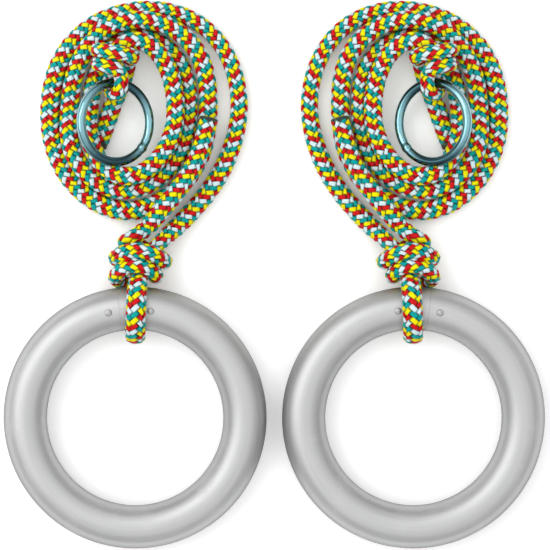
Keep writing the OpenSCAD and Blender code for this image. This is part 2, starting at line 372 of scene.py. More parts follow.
PLACE = ("Place", "NodeSocketVector")
FIBRE_LINES = FibreLines(
    "Fibre lines", (PLACE, ("Filaments", "NodeSocketFloat")), ("Height", "Clump", "TuckShade")
)
DRAW_LINES = DrawLines("Draw lines", (PLACE,), ("Lines",))
SCUFFS = Scuffs("Scuffs", (PLACE, ("Scale", "NodeSocketFloat")), ("Patch", "Scratch", "Grain"))


@dataclass(frozen=True)
class Finish:
    """A procedural finish, made into one material the first time that a piece wears it.

    Fields that several finishes have mean the same in each: metallic is how metallic the surface
    looks, roughness its roughness before wear, wear_scale how often rubbed patches come in times
    a metre, and relief and depth are the strength and the depth of its relief.

    Attributes:
        name: The material's name.
        grain_depth: Depth of the finest relief on a hard surface.
    """

    name: str
    grain_depth: ClassVar[float] = 0.05 * MM

    def sockets(self, sheet: NodeSheet) -> dict[str, Any]:
        """Work out what the finish gives its shader.

        Args:
            sheet: The material's tree.

        Returns:
            Values or sockets for the Principled shader's inputs, by name.
        """
        raise NotImplementedError

    def material(self) -> bpy.types.Material:
        """Find the finish's material, or make it the first time.

        Returns:
            The material.
        """
        found = bpy.data.materials.get(self.name)
        if found:
            return found
        made = bpy.data.materials.new(self.name)
        sheet = NodeSheet.blank(made)
        shader = sheet.add("BsdfPrincipled", self.sockets(sheet))
        sheet.add("OutputMaterial", {"Surface": shader.outputs[0]})
        return made


@dataclass(frozen=True)
class YarnFinish(Finish):
    """Bright multifilament yarn in one colour, with a soft lustre and painted shade where it tucks under.

    Attributes:
        light: Lit colour, painted on filaments that stand out and on bunches of them.
        shaded: Shaded copy of that colour, painted between them.
        tuck_shade_colour: Near-black colour of the painted shade where the yarn tucks under its neighbours.
        filaments: How many filaments lie side by side.
        clump_share: How much of the shading follows bunches of filaments, and not single ones.
        roughness: Roughness from between the bunches to on top of them.
        specular: Strength of the gloss.
    """

    light: Colour
    shaded: Colour
    tuck_shade_colour: Colour
    filaments: float = 7.0
    clump_share: float = 0.6
    roughness: Span = (0.5, 0.34)
    specular: float = 0.12
    relief: float = 0.5
    depth: float = 0.15 * MM

    def sockets(self, sheet: NodeSheet) -> dict[str, Any]:
        """Work out the yarn's sockets; see Finish.sockets."""
        values = {"Place": sheet.map(FIBRE_MAP), "Filaments": self.filaments}
        fibre = FIBRE_LINES.place(sheet, values)
        # Partly painted shade that follows the filaments' relief, partly a random tone by bunches of
        # filaments.
        shade = sheet.blend(self.clump_share, fibre["Height"], fibre["Clump"])
        colour = sheet.mix(shade, self.shaded, self.light)
        return {
            # Painted shade where the yarn tucks under.
            "Base Color": sheet.mix(fibre["TuckShade"], colour, self.tuck_shade_colour),
            "Roughness": sheet.range(fibre["Clump"], (0.0, 1.0), *self.roughness),
            "Normal": sheet.bump(fibre["Height"], self.relief, self.depth),
            "Specular IOR Level": self.specular,
        }


@dataclass(frozen=True)
class MeltedFinish(Finish):
    """Rope end that a hot knife has sealed: fused, dark and a little glossy.

    Attributes:
        pale: Colour of patches that kept some of the yarns' colour.
        dark: Colour where the yarns have fused.
        grain_span: The grain in the smoothest and the roughest places.
        roughness: Roughness in those places.
    """

    pale: Colour
    dark: Colour
    wear_scale: float = 420.0
    grain_span: Span = (0.3, 0.7)
    roughness: Span = (0.3, 0.6)
    relief: float = 0.5
    depth: float = 0.4 * MM

    def sockets(self, sheet: NodeSheet) -> dict[str, Any]:
        """Work out the sealed end's sockets; see Finish.sockets."""
        place = sheet.add("TexCoord").outputs["Object"]
        wear = SCUFFS.place(sheet, {"Place": place, "Scale": self.wear_scale})
        return {
            "Base Color": sheet.mix(wear["Patch"], self.dark, self.pale),
            "Roughness": sheet.range(wear["Grain"], self.grain_span, *self.roughness),
            "Normal": sheet.bump(wear["Grain"], self.relief, self.depth),
        }


@dataclass(frozen=True)
class PlasticFinish(Finish):
    """Silver pigmented plastic tube, with draw lines along it and scuffs from use.

    Attributes:
        pale: Colour on the crests of the draw lines.
        dull: Colour in their valleys.
        rubbed: Colour of rubbed patches and scratches.
        edge_tint: Tint of the gloss at a grazing angle, where the pigment turns dark.
        line_roughness: What the crests of the draw lines add to the roughness.
        rub_roughness: What rubbed patches add to it.
        rub_share: How much of the colour a rubbed patch changes.
        grain_share: Height of the grain beside that of the draw lines.
    """

    pale: Colour
    dull: Colour
    rubbed: Colour
    edge_tint: Colour = (0.0, 0.0, 0.0, 1)
    metallic: float = 1.0
    roughness: float = 0.45
    line_roughness: float = 0.07
    rub_roughness: float = 0.08
    rub_share: float = 0.35
    wear_scale: float = 45.0
    grain_share: float = 0.3
    relief: float = 0.1

    def sockets(self, sheet: NodeSheet) -> dict[str, Any]:
        """Work out the plastic's sockets; see Finish.sockets."""
        place = sheet.map(TUBE_MAP)
        lines = DRAW_LINES.place(sheet, {"Place": place})["Lines"]
        wear = SCUFFS.place(sheet, {"Place": place, "Scale": self.wear_scale})
        colour = sheet.mix(lines, self.dull, self.pale)
        rub = sheet.math("MULTIPLY_ADD", wear["Patch"], self.rub_share, wear["Scratch"], clamp=True)
        rough = sheet.math("MULTIPLY_ADD", lines, self.line_roughness, self.roughness)
        height = sheet.math("MULTIPLY_ADD", wear["Grain"], self.grain_share, lines)
        return {
            "Base Color": sheet.mix(rub, colour, self.rubbed),
            "Roughness": sheet.math("MULTIPLY_ADD", wear["Patch"], self.rub_roughness, rough),
            "Normal": sheet.bump(height, self.relief, self.grain_depth),
            "Metallic": self.metallic,
            "Specular Tint": self.edge_tint,
        }


@dataclass(frozen=True)
class ZincFinish(Finish):
    """Zinc plated steel with a blue passivated skin, thin and pale on two opposite sides of a ring.

    Attributes:
        shaded_arc_colour: Colour of the painted shade on the arcs between the highlights.
        highlight_arc_colour: Colour of the painted highlights.
        turn: How fast painted highlight and painted shade follow each other along the wire, in radians a
            metre.
        start: Where they start along the wire, in radians.
        highlight_span: The wave's heights at which the painted shade is full and the painted highlight is
            brightest.
        rub_share: What rubbed patches add to the wave.
        rub_roughness: What rubbed patches add to the roughness.
        scratch_roughness: What scratches add to it.
    """

    shaded_arc_colour: Colour
    highlight_arc_colour: Colour
    turn: float
    start: float
    highlight_span: Span = (-0.8, 1.1)
    rub_share: float = 0.3
    metallic: float = 1.0
    roughness: float = 0.1
    rub_roughness: float = 0.15
    scratch_roughness: float = 0.2
    wear_scale: float = 120.0
    relief: float = 0.08

    def sockets(self, sheet: NodeSheet) -> dict[str, Any]:
        """Work out the zinc's sockets; see Finish.sockets."""
        place = sheet.map(TUBE_MAP)
        lines = DRAW_LINES.place(sheet, {"Place": place})["Lines"]
        wear = SCUFFS.place(sheet, {"Place": place, "Scale": self.wear_scale})
        length = sheet.add("SeparateXYZ", {0: place}).outputs[0]
        # Painted highlight and shade: a cosine round the ring makes two opposite arcs pale and the arcs
        # between dark.
        wave = sheet.math("COSINE", sheet.math("MULTIPLY_ADD", length, self.turn, self.start))
        wave = sheet.math("MULTIPLY_ADD", wear["Patch"], self.rub_share, wave)
        rough = sheet.math("MULTIPLY_ADD", wear["Patch"], self.rub_roughness, self.roughness)
        return {
            "Base Color": sheet.mix(sheet.range(wave, self.highlight_span), self.shaded_arc_colour, self.highlight_arc_colour),
            "Roughness": sheet.math("MULTIPLY_ADD", wear["Scratch"], self.scratch_roughness, rough),
            "Normal": sheet.bump(lines, self.relief, self.grain_depth),
            "Metallic": self.metallic,
        }


@dataclass(frozen=True)
class PlainFinish(Finish):
    """Moulded or pressed small part, with a fine grain and rubbed patches.

    Attributes:
        colour: Colour of the part.
        rubbed: Colour of rubbed patches.
        grain_roughness: What the grain adds to the roughness.
    """

    colour: Colour
    rubbed: Colour
    metallic: float
    roughness: float
    wear_scale: float
    grain_roughness: float = 0.2
    relief: float = 0.1

    def sockets(self, sheet: NodeSheet) -> dict[str, Any]:
        """Work out the small part's sockets; see Finish.sockets."""
        place = sheet.add("TexCoord").outputs["Object"]
        wear = SCUFFS.place(sheet, {"Place": place, "Scale": self.wear_scale})
        return {
            "Base Color": sheet.mix(wear["Patch"], self.colour, self.rubbed),
            "Roughness": sheet.math("MULTIPLY_ADD", wear["Grain"], self.grain_roughness, self.roughness),
            "Normal": sheet.bump(wear["Grain"], self.relief, self.grain_depth),
            "Metallic": self.metallic,
        }


# Each yarn: its lit colour, its shaded copy, and the near-black painted shade where it tucks under.
YARNS = {
    Yarn.RED: YarnFinish(
        "red_yarn", (0.82, 0.012, 0.018, 1), (0.55, 0.004, 0.006, 1), (0.02, 0.0, 0.001, 1)
    ),
    Yarn.YELLOW: YarnFinish(
        "yellow_yarn", (1.0, 0.97, 0.0, 1), (0.92, 0.8, 0.0, 1), (0.08, 0.065, 0.0, 1)
    ),
    Yarn.TEAL: YarnFinish(
        "teal_yarn", (0.0, 0.5, 0.47, 1), (0.0, 0.27, 0.27, 1), (0.0, 0.012, 0.014, 1)
    ),
    Yarn.WHITE: YarnFinish(
        "white_yarn", (0.88, 1.0, 1.0, 1), (0.6, 0.84, 0.92, 1), (0.03, 0.08, 0.1, 1)
    ),
}
MELTED = MeltedFinish("sealed_rope_end", (0.12, 0.2, 0.1, 1), (0.02, 0.035, 0.03, 1))
SILVER = PlasticFinish(
    "silver_ring_plastic", (0.6, 0.602, 0.605, 1), (0.53, 0.532, 0.535, 1), (0.66, 0.66, 0.66, 1)
)
# Blue zinc colour in painted shade, and in painted highlight on two opposite arcs of the ring.
ZINC = ZincFinish("blue_zinc_steel", (0.05, 0.115, 0.14, 1), (0.27, 0.52, 0.58, 1), turn=78.4, start=0.35)
RIVET = PlainFinish(
    "rivet_dome", (0.45, 0.452, 0.455, 1), (0.52, 0.52, 0.525, 1),
    metallic=1.0, roughness=0.3, wear_scale=300.0,
)
SLEEVE = PlainFinish(
    "sleeve_plastic", (0.05, 0.05, 0.055, 1), (0.1, 0.1, 0.1, 1),
    metallic=0.0, roughness=0.45, wear_scale=60.0,
)


def unit(vectors: Array) -> Array:
    """Vectors along the last axis, each made one long."""
    return vectors / np.linalg.norm(vectors, axis=-1, keepdims=True)


def along(points: Array) -> Array:
    """The length of a path up to each of its points."""
    return np.concatenate([[0.0], np.cumsum(np.linalg.norm(np.diff(points, axis=0), axis=1))])


def full_turn(count: int) -> Array:
    """Angles spaced evenly round a full turn, without the last one."""
    return np.linspace(0, math.tau, count, endpoint=False)


def swept(angle: Array, first: Array, second: Array) -> Array:
    """Directions at angles from a first direction towards a second."""
    return np.cos(angle)[..., None] * first + np.sin(angle)[..., None] * second


def continued(values: Array) -> Array:
    """Values with one more at each end, in line with the two beside it."""
    return np.concatenate([2 * values[:1] - values[1:2], values, 2 * values[-1:] - values[-2:-1]])


def read_at(place: Array, known: Array, rows: Array) -> Array:
    """Rows that belong to known places along a path, read at other places."""
    return np.stack([np.interp(place, known, column) for column in rows.T], axis=1)


def smooth_curve(points: Array, steps: int) -> Array:
    """Draw a smooth curve through points, even where their spacing changes.

    Args:
        points: The points that the curve passes through.
        steps: How many points the curve has for each of them.

    Returns:
        The curve's points, in which every one of those given comes back.
    """
    padded = continued(points)
    gap = np.sqrt(np.linalg.norm(np.diff(padded, axis=0), axis=1))[:, None]
    rate = np.diff(padded, axis=0) / gap
    slope = rate[:-1] + rate[1:] - (padded[2:] - padded[:-2]) / (gap[:-1] + gap[1:])
    share = np.linspace(0, 1, steps, endpoint=False)[None, :, None]
    start, end, span = points[:-1, None], points[1:, None], gap[1:-1, None]
    out, into = slope[:-1, None] * span, slope[1:, None] * span
    curve = start + out * share
    curve = curve + (3 * (end - start) - 2 * out - into) * share**2
    curve = curve + (2 * (start - end) + out + into) * share**3
    return np.vstack([curve.reshape(-1, 3), points[-1:]])


def evenly_spaced(points: Array, step: float) -> Array:
    """Points about a step apart along a path, ends included."""
    done = along(points)
    return read_at(np.linspace(0, done[-1], round(done[-1] / step) + 1), done, points)


def eased(values: Array, spread: float) -> Array:
    """Smooth the rows of an array, with its first and last row kept.

    Args:
        values: The rows, evenly spaced.
        spread: The width of the smoothing, in rows.

    Returns:
        The smoothed rows.
    """
    reach = math.ceil(3 * spread)
    weight = np.exp(-0.5 * (np.arange(-reach, reach + 1) / spread) ** 2)
    weight /= weight.sum()
    before = 2 * values[:1] - values[reach:0:-1]
    after = 2 * values[-1:] - values[-2 : -reach - 2 : -1]
    padded = np.vstack([before, values, after])
    return np.stack([np.convolve(column, weight, "valid") for column in padded.T], axis=1)


def carried_sides(points: Array, heading: Array) -> Array:
    """Carry one side vector along a path without twisting it.

    Args:
        points: The path.
        heading: Its direction at each point, one long.

    Returns:
        A vector square to the path at each point.
    """
    least = 1e-12
    first = np.array([0.0, 0.0, 1.0])
    sides = [unit(first - first @ heading[0] * heading[0])]
    for step, here, there in zip(np.diff(points, axis=0), heading, heading[1:]):
        size = step @ step
        side = sides[-1] - 2 / size * (step @ sides[-1]) * step
        turned = here - 2 / size * (step @ here) * step
        change = there - turned
        sides.append(unit(side - 2 / max(change @ change, least) * (change @ side) * change))
    return np.array(sides)


def open_rim(quads: Array) -> Array:
    """Find the open edges of a mesh.

    Args:
        quads: The mesh's faces.

    Returns:
        The vertices on edges that only one face has.
    """
    edges = np.sort(np.stack([quads, np.roll(quads, -1, axis=1)], axis=-1).reshape(-1, 2), axis=1)
    edges, uses = np.unique(edges, axis=0, return_counts=True)
    return np.unique(edges[uses == 1])


def in_scene(name: str, data: bpy.types.ID) -> bpy.types.Object:
    """Make an object, and put it in the scene.

    Args:
        name: The object's name.
        data: Its mesh, camera or light.

    Returns:
        The object.
    """
    made = bpy.data.objects.new(name, data)
    bpy.context.scene.collection.objects.link(made)
    return made


def joint_of(name: str) -> dict[str, Any]:
    """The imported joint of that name."""
    return next(joint for joint in frame["record"]["behaviour"]["joints"] if joint["name"] == name)


@dataclass
class Shape:
    """A mesh of the left set as arrays.

    Attributes:
        points: The vertices.
        faces: Arrays of faces, each with one number of corners.
        finishes: The material index of each face, in the faces' order.
        maps: By name, the place of each face corner on that map, in the faces' order.
    """

    points: Array
    faces: list[Array]
    finishes: Array
    maps: dict[str, Array]

    def add(self, faces: Array, finish: int, places: Array) -> None:
        """Add faces of one finish.

        Args:
            faces: The faces, all with the same number of corners.
            finish: Their material index.
            places: The place of each of their corners, the same on every map.
        """
        self.faces.append(faces)
        self.finishes = np.concatenate([self.finishes, np.full(len(faces), finish)])
        self.maps = {name: np.vstack([known, places]) for name, known in self.maps.items()}

    def make(self, name: str, side: Side, finishes: tuple[Finish, ...]) -> bpy.types.Object:
        """Make the object for one side.

        Args:
            name: The object's name.
            side: The set that it belongs to.
            finishes: The finishes that the material indices stand for.

        Returns:
            The new object, in the scene.
        """
        mesh = bpy.data.meshes.new(name)
        faces = [face for group in self.faces for face in group.tolist()]
        mesh.from_pydata((self.points * (side.across, 1, 1)).tolist(), [], faces)
        for finish in finishes:
            mesh.materials.append(finish.material())
        mesh.polygons.foreach_set("material_index", self.finishes.astype(np.int32))
        mesh.polygons.foreach_set("use_smooth", np.ones(len(faces), bool))
        for map_name, places in self.maps.items():
            layer = mesh.uv_layers.new(name=map_name)
            layer.uv.foreach_set("vector", places.astype(np.float32).ravel())
        if side is Side.RIGHT:
            mesh.flip_normals()
        mesh.update()
        return in_scene(name, mesh)


def wrapped_grid(rings: int, sides: int, closed: bool) -> Array:
    """Faces of a tube whose rings of vertices follow each other.

    Args:
        rings: How many rings there are.
        sides: How many vertices a ring has.
        closed: Whether the last ring joins the first.

    Returns:
        One row of four vertex numbers for each face.
    """
    ring = np.arange(rings if closed else rings - 1)[:, None] * sides
    after = (ring + sides) % (rings * sides)
    here = np.arange(sides)[None, :]
    there = (here + 1) % sides
    return np.stack([ring + here, after + here, after + there, ring + there], axis=-1).reshape(-1, 4)


def bent_tube(spine: Array, out: Array, normal: Array, radius: Array, places: Array, girth: float) -> Shape:
    """The skin of a tube that is bent into a ring, closed round the tube and along it.

    Args:
        spine: The tube's middle at each ring of vertices.
        out: The direction there that points away from the middle of the bent ring.
        normal: The direction square to the bent ring's plane.
        radius: The tube's radius, by ring and by vertex round it.
        places: How far along the tube's map each ring is, and where the first comes round again.
        girth: The way round the tube on its map.

    Returns:
        The mesh, whose map counts on past the seams, so that no face spans the whole of it.
    """
    rings, sides = radius.shape
    points = spine[:, None] + radius[:, :, None] * swept(full_turn(sides), out[:, None], normal)
    quads = wrapped_grid(rings, sides, closed=True)
    ring, side = np.divmod(quads, sides)
    ring = np.where((ring.max(1, keepdims=True) == rings - 1) & (ring == 0), rings, ring)
    side = np.where((side.max(1, keepdims=True) == sides - 1) & (side == 0), sides, side)
    tube = np.stack([places[ring], side / sides * girth], axis=-1)
    return Shape(points.reshape(-1, 3), [quads], np.zeros(len(quads), int), {TUBE_MAP: tube.reshape(-1, 2)})


class Piece:
    """A piece that each set has one of. Its names here go without their side.

    Attributes:
        name: The piece's name.
        body: The body that it rides on.
        nodes: The nodes that it stands for.
        slot: The record's material slot of the piece.
        finishes: The finishes that its material indices stand for.
    """

    name: ClassVar[str]
    body: ClassVar[str]
    nodes: ClassVar[tuple[str, ...]]
    slot: ClassVar[Slot]
    finishes: ClassVar[tuple[Finish, ...]]

    def shape(self) -> Shape:
        """The mesh of the left set's piece."""
        raise NotImplementedError

    def build(self, side: Side) -> bpy.types.Object:
        """Build and dress one side's piece, and put it in the frame.

        Args:
            side: The set that it belongs to.

        Returns:
            The piece.
        """
        made = self.shape().make(side.named(self.name), side, self.finishes)
        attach(made, side.named(self.body))
        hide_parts(*[side.named(node) for node in self.nodes])
        return made


@dataclass
class RopeRoute:
    """The way one rope lies, from its free end at the hand ring to the one at the steel ring.

    Points are in millimetres, from the hand ring's hinge on the surface, as on the left set.

    Attributes:
        slack: Width and thickness of the rope where it lies free.
        ring_knot: Width and thickness drawn tight in the knot at the hand ring.
        ring_loop: Width and thickness pressed flat over the hand ring.
        eye_knot: Width and thickness drawn tight at the steel ring.
        loop_r: Radius of the loop's middle about the hinge.
        loop_ends: Angles about the hinge where the loop starts, underneath, and ends, on top.
        loop_lean: How far the loop has moved across the ring by its end.
        eye_r: Radius of the eye's middle about the steel wire.
        eye_ends: Angles about the wire where the eye starts and ends.
        loop_run: Straight lead-in of a strand to a loop.
        arc_step: Angle between two points of a loop.
        tail: The tail, from its free end to the knot.
        knot: The turns of the knot at the hand ring, up to the loop.
        lead_tight: The strand out of that knot, where it is still tight.
        lead: The strand from there to the coil.
        coil_mid: The coil's middle.
        coil_parts: Parts of a coil's turn.
        coil_step: Distance between two points of the coil, in those parts.
        coil_reach: The coil's distance from its middle at each part.
        coil_height: The coil's height at each part.
        eye_bend: The strand from the coil to the eye.
        eye_knot_in: The strand from the eye to its knot.
        eye_turn_mid: The middle of the turns of that knot.
        eye_turn_size: How far the turns reach across and up from it.
        eye_turn_pitch: Distance from turn to turn.
        eye_turn_angles: First angle, end and step of the turns.
        eye_knot_out: The strand out of that knot.
        eye_tail: The tail, up to its free end.
        hinge_z: Height of the hand ring's hinge.
        eye_at: The middle of the steel wire in the eye.
        steel_tilt: How far the steel ring leans, in degrees.
    """

    slack: Span = (12.0, 12.0)
    ring_knot: Span = (10.0, 10.0)
    ring_loop: Span = (12.6, 8.8)
    eye_knot: Span = (9.6, 9.6)
    loop_r: float = 19.0
    loop_ends: Span = (270.0, 15.0)
    loop_lean: float = 2.6
    eye_r: float = 7.8
    eye_ends: Span = (330.0, 75.0)
    loop_run: float = 3.5
    arc_step: float = 7.5
    tail: tuple = (
        (47.5, 122, 19), (45.5, 113, 19), (43.2, 104, 19), (40, 94.7, 19), (35.3, 86.5, 19),
        (29.5, 78.5, 19), (23.5, 71, 19), (18, 64.5, 18), (13, 58.5, 15.8), (8.5, 53, 15.5),
    )
    knot: tuple = (
        (4, 49, 18), (-1.5, 45.5, 21), (-6.5, 43, 18.5), (-6, 42, 10.5), (0, 41, 5.2),
        (9, 37, 5.2), (17.5, 31.5, 11), (19, 30, 20.5), (14, 34, 29), (5, 37, 32.5),
        (-4, 36.7, 31), (-11.5, 33.5, 24), (-12, 31.5, 14), (-6, 30.5, 6.5), (3, 27.5, 5),
        (11, 23, 8.5), (13.5, 20.5, 17.5), (11.5, 24, 26), (4, 27.5, 31), (-4.5, 27, 30.5),
        (-11, 22.5, 25), (-12.5, 19.5, 16), (-9.5, 17, 8.5), (-3.5, 13.5, 5), (0, 6, 4.5),
    )
    lead_tight: tuple = ((2, 24.5, 19), (7, 31.5, 18), (13, 39, 18), (19, 45.5, 14))
    lead: tuple = (
        (25.5, 51.5, 8.8), (32.5, 58.5, 6.4), (41, 67.5, 6.1), (50, 79, 6.1), (58, 93, 6.1),
        (63.8, 107.5, 6.1),
    )
    coil_mid: Span = (-6.8, 129.6)
    coil_parts: int = 8
    coil_step: float = 1 / 3
    coil_reach: tuple = (
        74.5, 74.5, 63.5, 54.3, 49.2, 56.8, 67.3, 60.5, 54, 61, 57, 42.5, 36, 46.3, 54.2, 47.2,
        41, 47.5, 47.6, 28, 23.5, 32, 46, 38, 33,
    )
    coil_height: tuple = (
        6, 6, 6, 6, 6, 6, 6, 6, 6, 12, 17.3, 13.6, 8.5, 15.2, 9.8, 8.5,
        6.5, 6.5, 6, 6, 10, 19.4, 20.4, 17.6, 17,
    )
    eye_bend: tuple = (
        (22, 154, 17.5), (17, 164, 19.5), (10, 171.5, 22), (2, 174.8, 24), (-6, 173.5, 26),
        (-11.5, 168, 26), (-13.5, 161, 26),
    )
    eye_knot_in: tuple = ((-11, 154.3, 34.8),)
    eye_turn_mid: tuple[float, float, float] = (-12.5, 155.5, 26.4)
    eye_turn_size: Span = (11.5, 10.4)
    eye_turn_pitch: float = 8.8
    eye_turn_angles: tuple[int, int, int] = (130, 551, 30)
    eye_knot_out: tuple = ((-18.5, 167.2, 17), (-8, 168.8, 14), (-4.4, 163.8, 8.8), (-5.2, 156.5, 6.2))
    eye_tail: tuple = (
        (-9, 146, 6.1), (-13, 137.5, 6.1), (-16.5, 128.5, 6.1), (-19, 119, 6.1), (-22.3, 111.5, 6.1),
        (-24.5, 106, 6.1),
    )
    hinge_z: float = 23.4
    eye_at: tuple[float, float, float] = (-12.5, 145.5, 25.0)
    steel_tilt: float = 32.5

    def arc(self, middle: Array, radius: float, up: Array, ends: Span) -> tuple[Array, Array]:
        """Points and directions round a loop of rope.

        Args:
            middle: The loop's middle.
            radius: The loop's radius.
            up: The direction at 90 degrees, where 0 is along Y.
            ends: The angles at which the loop starts and ends, the first one larger.

        Returns:
            The points, and the rope's direction at each.
        """
        count = round((ends[0] - ends[1]) / self.arc_step) + 1
        angle = np.radians(np.linspace(*ends, count))
        ahead = np.array([0.0, 1.0, 0.0])
        return middle + radius * swept(angle, ahead, up), swept(angle, -up, ahead)

    def coil(self) -> Array:
        """The coil's points: its reach is a smooth curve, and its height eases from part to part.

        Returns:
            The points, with a straight run of one diameter at the end.
        """
        last = len(self.coil_reach) - 1
        part = np.arange(0, last + self.coil_step / 2, self.coil_step)
        here = np.minimum(np.floor(part).astype(int), last - 1)
        share = part - here
        known = continued(np.array(self.coil_reach))
        a, b, c, d = (known[here + step] for step in range(4))
        reach = (2 * a - 5 * b + 4 * c - d) * share**2 + (3 * b - a - 3 * c + d) * share**3
        reach = (2 * b + (c - a) * share + reach) / 2
        height = np.array(self.coil_height, float)
        rise = height[here] + (height[here + 1] - height[here]) * (1 - np.cos(np.pi * share)) / 2
        angle = math.tau * part / self.coil_parts
        x = self.coil_mid[0] + reach * np.cos(angle)
        y = self.coil_mid[1] + reach * np.sin(angle)
        turns = np.stack([x, y, rise], axis=1)
        end = turns[-1:] + self.slack[0] * unit(turns[-1:] - turns[-2:-1])
        return np.vstack([turns, end])

    def eye_turns(self) -> Array:
        """The turns of the knot at the steel ring.

        Returns:
            The points along them.
        """
        angle = np.arange(*self.eye_turn_angles)
        turn = np.radians(angle)
        x = self.eye_turn_mid[0] + self.eye_turn_size[0] * np.cos(turn)
        y = self.eye_turn_mid[1] + self.eye_turn_pitch * (angle - 90) / 360
        z = self.eye_turn_mid[2] + self.eye_turn_size[1] * np.sin(turn)
        return np.stack([x, y, z], axis=1)

    def stretches(self) -> list[tuple[Array, Span]]:
        """The rope's stretches in order.

        Returns:
            For each stretch its points, and the rope's width and thickness there.
        """
        tilt = math.radians(self.steel_tilt)
        hinge = np.array([0.0, 0.0, self.hinge_z])
        loop, loop_way = self.arc(hinge, self.loop_r, np.array([0.0, 0.0, 1.0]), self.loop_ends)
        loop[:, 0] += self.loop_lean * np.linspace(0, 1, len(loop)) ** 2
        eye_up = np.array([math.sin(tilt), 0.0, math.cos(tilt)])
        eye, eye_way = self.arc(np.array(self.eye_at), self.eye_r, eye_up, self.eye_ends)
        return [
            (np.array(self.tail), self.slack),
            (np.array(self.knot), self.ring_knot),
            (loop, self.ring_loop),
            (loop[-1:] + self.loop_run * loop_way[-1:], self.ring_knot),
            (np.array(self.lead_tight), self.ring_knot),
            (np.array(self.lead), self.slack),
            (self.coil(), self.slack),
            (np.array(self.eye_bend), self.slack),
            (eye[:1] - self.loop_run * eye_way[:1], self.eye_knot),
            (eye, self.eye_knot),
            (eye[-1:] + self.loop_run * eye_way[-1:], self.eye_knot),
            (np.array(self.eye_knot_in), self.eye_knot),
            (self.eye_turns(), self.eye_knot),
            (np.array(self.eye_knot_out), self.eye_knot),
            (np.array(self.eye_tail), self.slack),
        ]


